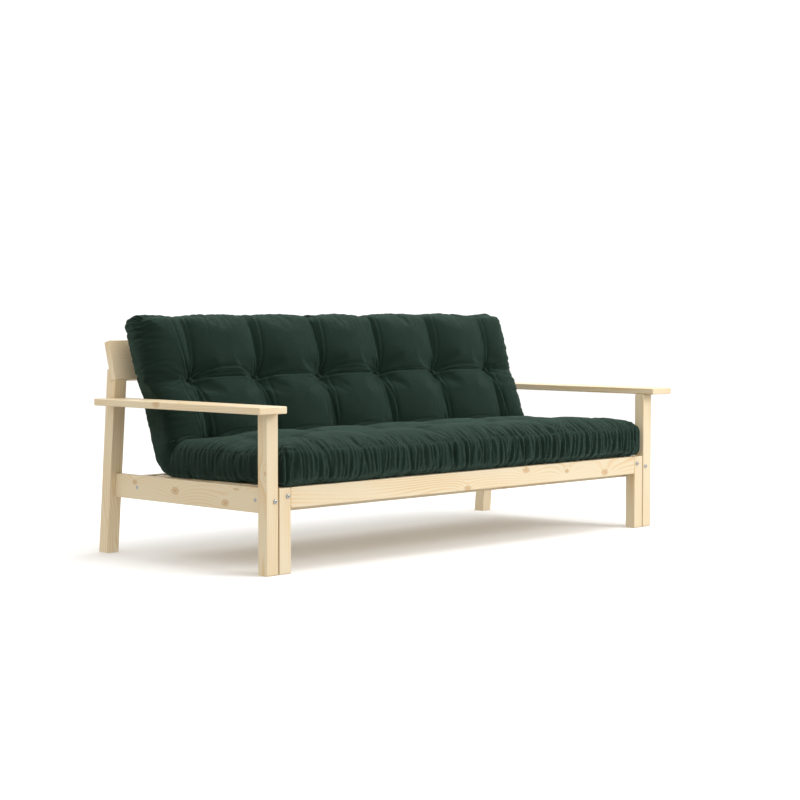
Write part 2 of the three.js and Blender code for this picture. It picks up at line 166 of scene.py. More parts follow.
class Graph:
    """Short calls for the nodes of one material."""

    def __init__(self, name):
        self.material = bpy.data.materials.new(name)
        self.material.use_nodes = True
        self.tree = self.material.node_tree
        self.shader = self.tree.nodes["Principled BSDF"]

    def node(self, kind, inputs=(), **settings):
        node = self.tree.nodes.new(kind)
        for key, value in settings.items():
            setattr(node, key, value)
        for key, value in dict(inputs).items():
            self.feed(node.inputs[key], value)
        return node

    def feed(self, socket, value):
        if isinstance(value, bpy.types.NodeSocket):
            self.tree.links.new(value, socket)
        else:
            socket.default_value = value

    def math(self, operation, a, b=0.0):
        return self.node("ShaderNodeMath", {0: a, 1: b}, operation=operation).outputs[0]

    def plus(self, a, b):
        return self.math("ADD", a, b)

    def minus(self, a, b):
        return self.math("SUBTRACT", a, b)

    def times(self, a, b):
        return self.math("MULTIPLY", a, b)

    def vector(self, operation, a, b):
        node = self.node("ShaderNodeVectorMath", {0: a, 1: b}, operation=operation)
        return node.outputs["Value" if operation == "DISTANCE" else "Vector"]

    def scaled(self, vector, scale):
        return self.vector("MULTIPLY", vector, scale)

    def noise(self, vector, scale, detail=2.0, roughness=0.5):
        inputs = {"Vector": vector, "Scale": scale, "Detail": detail, "Roughness": roughness}
        return self.node("ShaderNodeTexNoise", inputs).outputs["Fac"]

    def streaks(self, vector, scale, detail=2.0, roughness=0.5):
        """Noise with its own scale along each axis."""
        return self.noise(self.scaled(vector, scale), 1.0, detail, roughness)

    def ramp(self, factor, *stops):
        node = self.node("ShaderNodeValToRGB", {"Fac": factor})
        elements = node.color_ramp.elements
        elements[0].position, elements[0].color = stops[0][0], (*stops[0][1], 1)
        elements[1].position, elements[1].color = stops[-1][0], (*stops[-1][1], 1)
        for place, colour in stops[1:-1]:
            elements.new(place).color = (*colour, 1)
        return node.outputs["Color"]

    def grey_ramp(self, factor, *stops):
        return self.ramp(factor, *((place, (shade,) * 3) for place, shade in stops))

    def mix(self, factor, a, b):
        node = self.node("ShaderNodeMix", data_type="RGBA")
        self.feed(node.inputs[0], factor)
        self.feed(node.inputs[6], a)
        self.feed(node.inputs[7], b)
        return node.outputs[2]

    def bump(self, height, distance):
        inputs = {"Height": height, "Distance": distance, "Strength": 1.0}
        self.feed(self.shader.inputs["Normal"], self.node("ShaderNodeBump", inputs).outputs[0])

    def surface(self, settings):
        """Sets or links the shader's inputs by name."""
        for name, value in settings.items():
            self.feed(self.shader.inputs[name], value)


# ------------------------------------------------------------------ pine
#
# The scales and shifts of three numbers are for coordinates whose Z runs along the grain.

PINE_PALE = (0.755, 0.665, 0.490)
PINE_LATE = (0.650, 0.425, 0.190)
PINE_BLOTCH = (0.70, 0.585, 0.395)
KNOT_PITH = (0.30, 0.155, 0.065)
KNOT_RIM = (0.50, 0.315, 0.150)
KNOT_HEART = (0.585, 0.405, 0.225)
PIECE_SHIFT = (0.37, 0.83, 9.0)

RING_GAP = 0.0078
RING_RAMP = ((0.0, 0.0), (0.45, 0.10), (0.84, 1.0), (1.0, 0.0))
DRIFT_SCALE = (6.0, 6.0, 0.9)
DRIFT_ROUGH = 0.45
DRIFT_SWING = 0.090
FINE_SCALE = (60.0, 60.0, 2.4)
FINE_SWING = 0.0016
BLOTCH_SCALE = (4.0, 4.0, 1.1)
BLOTCH_DETAIL = 3.0
PATCH_SCALE = (11.0, 11.0, 2.2)
PATCH_DETAIL = 1.0
PATCH_RAMP = ((0.36, 0.12), (0.62, 1.0))
FLECK_SCALE = (900.0, 900.0, 26.0)
FLECK_DETAIL = 1.0
FLECK_SHARE = 0.16
FLECK_BUMP = 1.2  # against the rings
PINE_BUMP = 0.00012
PINE_ROUGH = 0.42
RING_ROUGH = 0.1
PINE_FINISH = {"Coat Weight": 0.12, "Coat Roughness": 0.35, "Specular IOR Level": 0.35}

KNOT_ALONG = 0.62  # what a distance along the grain counts, so that a knot is drawn out
CHANCE_CELLS = (9.0, 9.0, 2.6)
CHANCE_RADII = 19.0  # knot radii in one cell
RAGGED_SCALE = (190.0, 190.0, 120.0)
RAGGED_SHARE = 0.9
DECAY_BASE = 2.718
KNOT_DECAY = -0.50
KNOT_SWING = 0.030  # how far the rings bend round a knot
KNOT_HALF = 0.5  # the ramps run over two knot radii
KNOT_RAMP = (
    (0.0, KNOT_PITH),
    (0.10, KNOT_RIM),
    (0.20, KNOT_HEART),
    (0.34, KNOT_HEART),
    (0.42, KNOT_RIM),
    (0.56, PINE_BLOTCH),
    (1.0, PINE_PALE),
)
KNOT_COVER = ((0.0, 0.95), (0.38, 0.80), (0.85, 0.0))


def along_grain(graph, axis):
    """Object coordinates turned so that the grain runs along Z, with an offset for each piece."""
    place = graph.node("ShaderNodeTexCoord").outputs["Object"]
    split = graph.node("ShaderNodeSeparateXYZ", {0: place})
    order = {"x": (1, 2, 0), "y": (0, 2, 1), "z": (0, 1, 2)}[axis]
    turned = graph.node("ShaderNodeCombineXYZ", {k: split.outputs[o] for k, o in enumerate(order)})
    chance = graph.node("ShaderNodeObjectInfo").outputs["Random"]
    shifts = {k: graph.times(chance, amount) for k, amount in enumerate(PIECE_SHIFT)}
    shift = graph.node("ShaderNodeCombineXYZ", shifts)
    return place, graph.vector("ADD", turned.outputs[0], shift.outputs[0])


def knot_distance(graph, place, axis, knots):
    """Distance to the nearest knot, in knot radii, drawn out along the grain."""
    stretch = [1.0, 1.0, 1.0]
    stretch["xyz".index(axis)] = KNOT_ALONG
    closest = None
    for centre, radius in knots:
        scale = tuple(k / radius for k in stretch)
        middle = tuple(c * k for c, k in zip(centre, scale))
        distance = graph.vector("DISTANCE", graph.scaled(place, scale), middle)
        closest = distance if closest is None else graph.math("MINIMUM", closest, distance)
    return closest


def chance_knots(graph, turned):
    """Distance to small knots scattered by chance."""
    inputs = {"Vector": graph.scaled(turned, CHANCE_CELLS), "Scale": 1.0, "Randomness": 1.0}
    closest = graph.node("ShaderNodeTexVoronoi", inputs).outputs["Distance"]
    return graph.times(closest, CHANCE_RADII)


def ragged_knots(graph, place, turned, axis, knots):
    """Distance to any knot, with an uneven rim."""
    given = knot_distance(graph, place, axis, knots)
    distance = graph.math("MINIMUM", chance_knots(graph, turned), given)
    ragged = graph.minus(graph.streaks(turned, RAGGED_SCALE), 0.5)
    return graph.plus(distance, graph.times(ragged, RAGGED_SHARE))


def growth_rings(graph, turned, distance, pith):
    """Rises from 0 to 1 across each year's ring. The rings bend round the knots."""
    near_knot = graph.math("POWER", DECAY_BASE, graph.times(distance, KNOT_DECAY))
    drift = graph.streaks(turned, DRIFT_SCALE, roughness=DRIFT_ROUGH)
    flat = graph.scaled(turned, (1.0, 1.0, 0.0))
    bent = graph.vector("DISTANCE", flat, (*pith, 0.0))
    bent = graph.plus(bent, graph.times(drift, DRIFT_SWING))
    bent = graph.plus(bent, graph.times(near_knot, KNOT_SWING))
    bent = graph.plus(bent, graph.times(graph.streaks(turned, FINE_SCALE), FINE_SWING))
    return graph.math("FRACT", graph.math("DIVIDE", bent, RING_GAP))


def pine(name, axis, knots, pith):
    """Clear-finished pine with rings about a pith beside the board, and knots."""
    graph = Graph(name)
    place, turned = along_grain(graph, axis)
    distance = ragged_knots(graph, place, turned, axis, knots)
    ring = growth_rings(graph, turned, distance, pith)
    late = graph.grey_ramp(ring, *RING_RAMP)
    blotch = graph.streaks(turned, BLOTCH_SCALE, BLOTCH_DETAIL)
    pale = graph.mix(blotch, (*PINE_PALE, 1), (*PINE_BLOTCH, 1))
    patch = graph.grey_ramp(graph.streaks(turned, PATCH_SCALE, PATCH_DETAIL), *PATCH_RAMP)
    colour = graph.mix(graph.times(late, patch), pale, (*PINE_LATE, 1))
    flecks = graph.streaks(turned, FLECK_SCALE, FLECK_DETAIL)
    colour = graph.mix(graph.times(flecks, FLECK_SHARE), colour, (*PINE_LATE, 1))
    half = graph.times(distance, KNOT_HALF)
    core = graph.ramp(half, *KNOT_RAMP)
    colour = graph.mix(graph.grey_ramp(half, *KNOT_COVER), colour, core)
    rough = graph.plus(PINE_ROUGH, graph.times(ring, RING_ROUGH))
    graph.surface({"Base Color": colour, "Roughness": rough, **PINE_FINISH})
    graph.bump(graph.plus(ring, graph.times(flecks, FLECK_BUMP)), PINE_BUMP)
    return graph.material


# ------------------------------------------------------------------ fittings

ZINC_DARK = (0.26, 0.275, 0.29, 1)
ZINC_LIGHT = (0.42, 0.43, 0.44, 1)
ZINC_CLOUD = 160.0
ZINC_DETAIL = 3.0
SCRATCH_SCALE = (2400.0, 300.0, 300.0)
SCRATCH_ROUGH = 0.25
SCRATCH_BUMP = 0.00005
ZINC_ROUGH = 0.24


def zinc():
    """Zinc-plated steel with a fine turned finish."""
    graph = Graph("zinc")
    place = graph.node("ShaderNodeTexCoord").outputs["Object"]
    cloud = graph.noise(place, ZINC_CLOUD, ZINC_DETAIL)
    scratch = graph.streaks(place, SCRATCH_SCALE)
    colour = graph.mix(cloud, ZINC_DARK, ZINC_LIGHT)
    rough = graph.plus(ZINC_ROUGH, graph.times(scratch, SCRATCH_ROUGH))
    graph.surface({"Base Color": colour, "Roughness": rough, "Metallic": 1.0})
    graph.bump(scratch, SCRATCH_BUMP)
    return graph.material


# ------------------------------------------------------------------ cotton cover

FLAT_NAME = "flat"
COTTON = (0.0040, 0.0132, 0.0082, 1)
COTTON_LIGHT = (0.0056, 0.0168, 0.0110, 1)
COTTON_YARN = (0.011, 0.025, 0.019, 1)
CLOUD_SCALE = 14.0
CLOUD_DETAIL = 3.0
TWILL_GAP = 0.0016
YARN_RATE = 2.3  # crossing yarns to one line of the twill
YARN_SHARE = 0.45
SLUB_SCALE = (900.0, 60.0, 300.0)
SLUB_ROUGH = 0.12
SLUB_BUMP = 2.0  # against the weave
WEAVE_LIFT = 1.4
SLUB_LIFT = 0.16
WEAVE_BUMP = 0.00018
COTTON_ROUGH = 0.82
COTTON_FINISH = {
    "Specular IOR Level": 0.12,
    "Sheen Weight": 0.24,
    "Sheen Roughness": 0.30,
    "Sheen Tint": (0.50, 0.84, 0.68, 1),
}


def cotton():
    """Dark green cotton twill, drawn in the flat coordinates of the cover."""
    graph = Graph("cotton")
    flat = graph.node("ShaderNodeAttribute", attribute_name=FLAT_NAME).outputs["Vector"]
    split = graph.node("ShaderNodeSeparateXYZ", {0: flat})
    across = graph.plus(split.outputs[0], split.outputs[2])
    along = graph.plus(split.outputs[1], split.outputs[2])
    turn = 2 * math.pi / TWILL_GAP
    diagonal = graph.math("SINE", graph.times(graph.plus(across, along), turn))
    yarn = graph.math("SINE", graph.times(graph.minus(across, along), turn * YARN_RATE))
    weave = graph.plus(diagonal, graph.times(yarn, YARN_SHARE))
    slub = graph.streaks(flat, SLUB_SCALE)
    colour = graph.mix(graph.noise(flat, CLOUD_SCALE, CLOUD_DETAIL), COTTON, COTTON_LIGHT)
    lift = graph.times(graph.plus(weave, WEAVE_LIFT), graph.times(slub, SLUB_LIFT))
    colour = graph.mix(lift, colour, COTTON_YARN)
    rough = graph.plus(COTTON_ROUGH, graph.times(slub, SLUB_ROUGH))
    graph.surface({"Base Color": colour, "Roughness": rough, **COTTON_FINISH})
    graph.bump(graph.plus(weave, graph.times(slub, SLUB_BUMP)), WEAVE_BUMP)
    return graph.material


# ------------------------------------------------------------------ mattress, laid flat
#
# The slab is drawn flat: x across, s along from the front edge of the seat, and t up
# from the slats. The fold then bends it round a line above the slats.

seat_lo, seat_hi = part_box("mattress_seat")
fold_joint = next(joint for joint in frame["joints"] if joint["name"] == "mattress_fold")

SLAT_TOP = seat_lo[2]
MIDDLE = (seat_lo[0] + seat_hi[0]) / 2
SWELL_ROOM = 0.014  # left for the stuffing to swell sideways
WIDE = seat_hi[0] - seat_lo[0] - SWELL_ROOM
THICK = 0.118
FRONT = seat_lo[1]
PIVOT = Vector((MIDDLE, *fold_joint["pos_m"][1:]))

LEAN = math.radians(18.6)
TURN = math.pi / 2 - LEAN
MID_PLANE = (0, math.cos(TURN / 2), math.sin(TURN / 2))  # across the crease of the fold
BEND_Y = 0.1165
BEND_INNER = 0.014
OVER_SLATS = 0.002
BEND_Z = SLAT_TOP + OVER_SLATS + THICK + BEND_INNER

SEAT_LONG = BEND_Y - FRONT
BEND_LONG = TURN * (BEND_INNER + THICK / 2)
BACK_LONG = 0.480
LONG = SEAT_LONG + BEND_LONG + BACK_LONG
FOLD = SEAT_LONG + BEND_LONG / 2
BACK_DRIFT = -0.037  # sideways, from the front edge of the seat to the top of the back

COLUMN_GAP = 0.311
COLUMN_COUNT = 6
COLUMNS = (np.arange(COLUMN_COUNT) - (COLUMN_COUNT - 1) / 2) * COLUMN_GAP
SEAT_ROW = 0.228  # from the front edge
BACK_ROW = 0.215  # from the end of the bend
ROWS = np.array([SEAT_ROW, FOLD, SEAT_LONG + BEND_LONG + BACK_ROW])

GRID = 0.0085
TINY = 1e-9  # keeps a division from a length of zero

EDGE_ROUND = (0.028, 0.057)  # radius at the seat's front, and at the top of the back
ROUND_SPAN = 0.2  # over which the radius grows at the fold
END_ROUND = 0.8  # how far the ends of the seat go to the greater radius
END_SPAN = 0.12
FRONT_SPAN = 0.08  # the front corners stay tight over this length
ROUND_RISE = 1.2  # how the radius grows from the underside upwards
ROUND_UNDER = 0.3

# Heights: of the crown, of the valleys along columns and rows of tufts, and of a tuft's pit.
# Soft is the distance from the edge over which the crown rises.
BACK_PUFF = {"crown": 0.034, "column": 0.032, "row": 0.018, "pit": 0.068, "soft": 0.045}
SEAT_PUFF = {"crown": 0.026, "column": 0.014, "row": 0.016, "pit": 0.042, "soft": 0.085}
REAR_PUFF = {"crown": 0.008, "column": 0.006, "row": 0.006, "pit": 0.022, "soft": 0.045}
VALLEY_REACH = 0.036
PIT_REACH = 0.050
TUFT_FLAT = 0.014
TUFT_EDGE = 0.030  # the tufting fades out this close to the edge
PUFF_SPAN = 0.08  # over which the seat's puff becomes the back's
SEAT_TILT = 0.012
END_CROWN = 0.008
CROWN_SPAN = 0.08


def slab_grid(step):
    """Flat coordinates and quads of the skin of a box of equal cells."""
    size = np.array([WIDE, LONG, THICK])
    n = np.round(size / step).astype(int)
    index = np.stack(np.meshgrid(*(np.arange(k + 1) for k in n), indexing="ij"), -1)
    skin = ((index == 0) | (index == n)).any(-1)
    number = np.full(skin.shape, -1)
    number[skin] = np.arange(skin.sum())
    quads = []
    for face, flip in (
        (number[:, :, -1], False), (number[:, :, 0], True),
        (number[:, 0, :], False), (number[:, -1, :], True),
        (number[-1, :, :], False), (number[0, :, :], True),
    ):
        corners = [face[:-1, :-1], face[1:, :-1], face[1:, 1:], face[:-1, 1:]]
        quads.append(np.stack(corners[::-1] if flip else corners, -1).reshape(-1, 4))
    flat = index[skin] / n * size
    flat[:, 0] -= WIDE / 2
    return flat, np.concatenate(quads)


def closeness(distance, span):
    """1 at an edge, where the distance is 0, down to 0 at a span inside it."""
    return np.clip(distance / span + 1, 0, 1)


def rounded_box(flat):
    """The slab with edges that grow rounder from the seat's front to the top of the back."""
    x, s, t = flat[:, :1], flat[:, 1:2], flat[:, 2:3]
    share = np.clip((s - FOLD) / ROUND_SPAN + 0.5, 0, 1)
    end = closeness(np.abs(x) - WIDE / 2, END_SPAN)
    share = np.maximum(share, END_ROUND * end * np.clip(s / FRONT_SPAN, 0, 1))
    share *= np.clip(t / THICK * ROUND_RISE, ROUND_UNDER, 1)
    radius = EDGE_ROUND[0] + (EDGE_ROUND[1] - EDGE_ROUND[0]) * share
    low = np.array([-WIDE / 2, 0, 0]) + radius
    high = np.array([WIDE / 2, LONG, THICK]) - radius
    core = np.clip(flat, low, high)
    out = flat - core
    length = np.linalg.norm(out, axis=1, keepdims=True)
    return core + out / np.maximum(length, TINY) * radius


def nearest(values, lines):
    """Distance from each value to the nearest line."""
    return np.abs(values[:, None] - lines[None]).min(1)


def puff(flat, crown, column, row, pit, soft):
    """Height of the stuffing over the plain slab, with the tufts pulled in."""
    x, s = flat[:, 0], flat[:, 1]
    u, v = nearest(x, COLUMNS), nearest(s, ROWS)
    edge = np.maximum(np.minimum(np.minimum(s, LONG - s), WIDE / 2 - np.abs(x)), 0)
    valley = column * np.exp(-u / VALLEY_REACH)
    trough = row * np.exp(-v / VALLEY_REACH)
    dent = pit * np.exp(-np.sqrt(u**2 + v**2 + TUFT_FLAT**2) / PIT_REACH)
    pulled = (valley**3 + trough**3 + dent**3) ** (1 / 3)
    return crown * (1 - np.exp(-edge / soft)) - pulled * (1 - np.exp(-edge / TUFT_EDGE))


def stuffed(flat):
    """The slab with its crowned, tufted front and its flatter back."""
    shape = rounded_box(flat)
    level = 2 * flat[:, 2] / THICK - 1
    share = np.clip((flat[:, 1] - FOLD) / PUFF_SPAN + 0.5, 0, 1)
    front = puff(flat, **SEAT_PUFF) * (1 - share) + puff(flat, **BACK_PUFF) * share
    front += SEAT_TILT * (1 - 2 * flat[:, 1] / SEAT_LONG) * (1 - share)
    shape[:, 2] += front * np.maximum(level, 0) ** 3
    shape[:, 2] -= puff(flat, **REAR_PUFF) * np.maximum(-level, 0) ** 3
    crown = END_CROWN * share * level**2
    side = closeness(np.abs(flat[:, 0]) - WIDE / 2, CROWN_SPAN) ** 2
    top = closeness(flat[:, 1] - LONG, CROWN_SPAN) ** 2
    shape[:, 0] -= np.sign(flat[:, 0]) * crown * side
    shape[:, 1] -= crown * top
    return shape


def folded(flat):
    """Flat coordinates carried round the fold into the sofa."""
    x, s, t = flat.T
    turn = np.clip((s - SEAT_LONG) / BEND_LONG, 0, 1) * TURN
    straight = np.minimum(s - SEAT_LONG, 0) + np.maximum(s - SEAT_LONG - BEND_LONG, 0)
    radius = BEND_INNER + THICK - t
    y = BEND_Y + radius * np.sin(turn) + straight * np.cos(turn)
    z = BEND_Z - radius * np.cos(turn) + straight * np.sin(turn)
    return np.stack([x + MIDDLE + BACK_DRIFT * s / LONG, y, z], 1)


# ------------------------------------------------------------------ mesh helpers


def mesh_object(name, points, faces):
    """A smooth-shaded mesh object in the scene."""
    mesh = bpy.data.meshes.new(name)
    mesh.from_pydata(points.tolist(), [], faces)
    mesh.polygons.foreach_set("use_smooth", np.ones(len(mesh.polygons), bool))
    obj = bpy.data.objects.new(name, mesh)
    bpy.context.scene.collection.objects.link(obj)
    return obj


def keep_flat(mesh, flat):
    """Stores the flat coordinates on the mesh, for the cloth's material."""
    values = mesh.attributes.new(FLAT_NAME, "FLOAT_VECTOR", "POINT")
    values.data.foreach_set("vector", flat.astype(np.float32).ravel())


def read_vectors(collection, key):
    values = np.empty(len(collection) * 3, np.float32)
    collection.foreach_get(key, values)
    return values.reshape(-1, 3).astype(float)


def read_points(mesh):
    return read_vectors(mesh.vertices, "co")


def read_flat(mesh):
    return read_vectors(mesh.attributes[FLAT_NAME].data, "vector")


def normals(mesh):
    return read_vectors(mesh.vertex_normals, "vector")


def write_points(mesh, points):
    mesh.vertices.foreach_set("co", points.astype(np.float32).ravel())
    mesh.update()


def evaluated(obj):
    return obj.evaluated_get(bpy.context.evaluated_depsgraph_get())


# ------------------------------------------------------------------ filling the mattress

SIM_FRAMES = 14
SIM_CAP = 0.020
BORDER_HOLD = 0.22
END_HOLD = 0.05
TUFT_HELD = 0.018  # radius that is held fully round a tuft
PANEL_NEAR = 1e-6

CLOTH = {
    "quality": 4,
    "mass": 0.3,
    "tension_stiffness": 15,
    "compression_stiffness": 15,
    "shear_stiffness": 5,
    "bending_stiffness": 0.5,
    "air_damping": 2,
    "use_pressure": True,
    "uniform_pressure_force": 4,
    "shrink_min": -0.012,
}


def held_points(flat):
    """How firmly each point keeps its place: tufts fully, the border a little."""
    u, v = nearest(flat[:, 0], COLUMNS), nearest(flat[:, 1], ROWS)
    panel = (flat[:, 2] > THICK - PANEL_NEAR) | (flat[:, 2] < PANEL_NEAR)
    hold = np.where(panel, 0.0, np.where(flat[:, 1] < GRID / 2, BORDER_HOLD, END_HOLD))
    hold[panel & (np.hypot(u, v) < TUFT_HELD)] = 1.0
    return hold


def inflate(obj, flat):
    """Cloth under pressure, held at the tufts and at the border."""
    hold = held_points(flat)
    group = obj.vertex_groups.new(name="held")
    for weight in np.unique(hold[hold > 0]):
        group.add(np.flatnonzero(hold == weight).tolist(), float(weight), "REPLACE")
    modifier = obj.modifiers.new("cloth", "CLOTH")
    for key, value in CLOTH.items():
        setattr(modifier.settings, key, value)
    modifier.settings.vertex_group_mass = group.name
    modifier.settings.effector_weights.gravity = 0
    modifier.collision_settings.use_collision = False
    modifier.point_cache.frame_start = 1
    modifier.point_cache.frame_end = SIM_FRAMES
    scene = bpy.context.scene
    for number in range(1, SIM_FRAMES + 1):
        scene.frame_set(number)
    swollen = read_points(evaluated(obj).data)
    obj.modifiers.remove(modifier)
    obj.vertex_groups.clear()
    scene.frame_set(1)
    start = read_points(obj.data)
    move = swollen - start
    length = np.linalg.norm(move, axis=1, keepdims=True)
    write_points(obj.data, start + move * np.minimum(1, SIM_CAP / np.maximum(length, TINY)))


def subdivide(obj):
    """One subdivision, applied. The flat coordinates go along as an attribute."""
    smoother = obj.modifiers.new("smooth", "SUBSURF")
    smoother.levels = 1
    mesh = bpy.data.meshes.new_from_object(evaluated(obj))
    obj.modifiers.remove(smoother)
    obj.data = mesh


# ------------------------------------------------------------------ creases, gathers and seams

LIP = 0.45  # height of the ridge beside a crease, against its depth
CREASE_SHARE = 0.25  # share of the thickness over which the creases fade out downwards

UP_CREASES = (2, 3, 4, 3, 2, 3)  # for each column
DOWN_CREASES = (3, 2, 3, 2, 4, 2)
FAN_DEPTH = 0.0100
FAN_HALF = 0.08
FAN_PAST = 1.1  # how far a fan runs, against the way to the next row
FAN_SIDE = 0.9
FAN_LEAN = 0.35
FAN_STRAY = 0.15
FAN_STRONG = (0.45, 1.0)
FAN_START = 0.003
FAN_SPREAD = 0.034
FAN_OPEN = 0.10
FAN_WIDTH = 0.0034
FAN_WIDEN = 0.009
FAN_LIP = 1.7  # place of the ridge, in widths
FAN_RISE = 0.010
FAN_STAY = 0.30
FAN_FALL = 0.08
FAN_CLOSE = 0.03

ARCS = (3, 1, 3, 1, 2)  # for each pair of columns
ARC_DEPTH = 0.0085
ARC_HALF = 0.06
ARC_WIDTH = 0.0048
ARC_LIP = 0.008
ARC_FIRST = 0.006
ARC_STEP = 0.0165
ARC_STRAY = 0.003
ARC_BOW = 0.7
ARC_SLACK = 0.45  # how much shallower an arc is half way
ARC_STRONG = (0.7, 1.0)

SIDE_TILTS = (-0.25, 0.1, 0.4)
SIDE_DEPTH = 0.008
SIDE_WIDTH = 0.005
SIDE_RISE = 0.01
SIDE_FALL = 0.05
SIDE_FAR = 0.15


def ridge(distance, width):
    return np.exp(-((distance / width) ** 2))


def crease(away, width, lip):
    """A crease with a low ridge at one side."""
    return ridge(away, width) - LIP * ridge(away + lip, width)


def fan(x, s, column, row, way, count, reach):
    """Creases that leave a tuft together, spread and run on side by side."""
    run = way * (s - row)
    on = (run > 0) & (run < reach * FAN_PAST) & (np.abs(x - column) < FAN_HALF)
    depth = np.zeros(len(x))
    u, v = x[on] - column, run[on]
    spread = FAN_START + FAN_SPREAD * (1 - np.exp(-v / FAN_OPEN))
    rise = 1 - np.exp(-v / FAN_RISE)
    fall = FAN_STAY + (1 - FAN_STAY) * np.exp(-v / FAN_FALL)
    close = np.clip((reach * FAN_PAST - v) / FAN_CLOSE, 0, 1)
    width = FAN_WIDTH + FAN_WIDEN * v
    lean = rng.uniform(-FAN_LEAN, FAN_LEAN)
    for place in np.linspace(-FAN_SIDE, FAN_SIDE, count):
        place += lean + rng.uniform(-FAN_STRAY, FAN_STRAY)
        strong = rng.uniform(*FAN_STRONG)
        fold = crease(u - place * spread, width, width * FAN_LIP)
        depth[on] += strong * fold * rise * fall * close
    return depth * FAN_DEPTH


def arcs(x, s, column, row, span, count):
    """Folds slung from one tuft to the next, above their row."""
    u = (x - column) / span
    on = (u > 0) & (u < 1) & (np.abs(s - row) < ARC_HALF)
    depth = np.zeros(len(x))
    part = u[on]
    tight = np.abs(np.cos(math.pi * part)) * ARC_SLACK + 1 - ARC_SLACK
    for k in range(count):
        bow = ARC_FIRST + ARC_STEP * k + rng.uniform(-ARC_STRAY, ARC_STRAY)
        line = row + bow * np.sin(math.pi * part) ** ARC_BOW
        strong = rng.uniform(*ARC_STRONG)
        depth[on] += strong * crease(s[on] - line, ARC_WIDTH, ARC_LIP) * tight
    return depth * ARC_DEPTH


def side_pulls(x, s, column, row, side):
    """Short creases from the last tuft of a row towards the end of the mattress."""
    out = side * (x - column)
    near = (out > 0) & (out < SIDE_FAR)
    strength = np.exp(-out / SIDE_FALL) * (1 - np.exp(-np.maximum(out, 0) / SIDE_RISE))
    pulls = sum(ridge(s - row - tilt * out, SIDE_WIDTH) for tilt in SIDE_TILTS)
    return near * strength * pulls * SIDE_DEPTH


def tuft_creases(flat):
    """Depth of all the creases round the tufts of the front panel."""
    x, s = flat[:, 0], flat[:, 1]
    depth = np.zeros(len(flat))
    ends = (0, *ROWS, LONG)
    for number, row in enumerate(ROWS):
        below = row - ends[number]
        above = ends[number + 2] - row
        for k, column in enumerate(COLUMNS):
            depth += fan(x, s, column, row, 1, UP_CREASES[k], above)
            depth += fan(x, s, column, row, -1, DOWN_CREASES[k], below)
        for k, column in enumerate(COLUMNS[:-1]):
            depth += arcs(x, s, column, row, COLUMNS[k + 1] - column, ARCS[k])
        for side, column in ((-1, COLUMNS[0]), (1, COLUMNS[-1])):
            depth += side_pulls(x, s, column, row, side)
    return depth * closeness(flat[:, 2] - THICK, THICK * CREASE_SHARE)


GATHER_WIDTH = (0.0038, 0.0072)
GATHER_STRONG = (0.40, 1.0)
DEEP_SHARE = 1.7
DEEP_CHANCE = 0.12
GATHER_FAR = (0.4, 1.3)
GATHER_SLANT = (-0.22, 0.16)
GATHER_CURL = (-0.9, 0.5)
GATHER_STEP = (0.5, 1.7)
GATHER_HALF = 0.05
GATHER_UNDER = 0.02  # how far the gathers run on past the lower seam
SWELL_MEAN = 0.75
SWELL_SWING = 0.25
SWELL_SHIFT = 0.15
FRONT_GATHERS = {"gap": 0.0115, "deep": 0.0050, "reach": 0.080}
TOP_GATHERS = {"gap": 0.0130, "deep": 0.0040, "reach": 0.060}
END_GATHERS = {"gap": 0.0120, "deep": 0.0048, "reach": 0.080}

UPPER_SEAM = 0.0016
UPPER_WIDTH = 0.0040
LOWER_SEAM = 0.0018
LOWER_WIDTH = 0.0042
SEAM_SPAN = 0.1  # over which the upper seam fades out before the fold

WAVE_COUNT = 14
WAVE_RATE = (16, 16, 8)
WAVE_HIGH = 0.0006


def gathers(along, over, length, gap, deep, reach):
    """Depth of irregular gathers down a border. Over is the way past the upper seam."""
    depth = np.zeros(len(along))
    place = -length / 2 + rng.uniform(0, gap)
    while place < length / 2:
        width = rng.uniform(*GATHER_WIDTH)
        strong = rng.uniform(*GATHER_STRONG)
        strong *= DEEP_SHARE if rng.random() < DEEP_CHANCE else 1.0
        far = reach * rng.uniform(*GATHER_FAR)
        slant = rng.uniform(*GATHER_SLANT)
        curl = rng.uniform(*GATHER_CURL)
        near = (np.abs(along - place) < GATHER_HALF) & (over > -THICK - far) & (over < far * 2)
        a, o = along[near] - place, over[near]
        line = slant * o + curl * o**2
        past = np.maximum(o, 0) / far
        below = np.maximum(-o - THICK, 0) / GATHER_UNDER
        level = np.clip(o / THICK + SWELL_SHIFT, -1, 1)
        swell = SWELL_MEAN + SWELL_SWING * np.cos(level * math.pi)
        depth[near] += strong * ridge(a - line, width) * np.exp(-(past**2) - below**2) * swell
        place += gap * rng.uniform(*GATHER_STEP)
    return depth * deep


def border_depth(flat):
    """Depth of the gathers of the four borders, and of the seams above and below them."""
    x, s, t = flat.T
    drop = THICK - t
    front = s - drop
    top = LONG - s - drop
    left = x + WIDE / 2 - drop
    right = WIDE / 2 - x - drop
    depth = gathers(x, front, WIDE, **FRONT_GATHERS)
    depth += gathers(x, top, WIDE, **TOP_GATHERS)
    depth += gathers(s - LONG / 2, left, LONG, **END_GATHERS)
    depth += gathers(s - LONG / 2, right, LONG, **END_GATHERS)
    on_seat = np.clip((FOLD - s) / SEAM_SPAN, 0, 1)
    for over in (front, left, right):
        depth += UPPER_SEAM * ridge(over, UPPER_WIDTH) * on_seat
    for over in (front, top, left, right):
        depth += LOWER_SEAM * ridge(over + THICK, LOWER_WIDTH)
    return depth


def rolling(flat):
    """Slow unevenness of the stuffing."""
    total = np.zeros(len(flat))
    for _ in range(WAVE_COUNT):
        wave = rng.normal(0, 1, 3) * WAVE_RATE
        total += np.sin(flat @ wave + rng.uniform(0, 2 * math.pi))
    return total * WAVE_HIGH


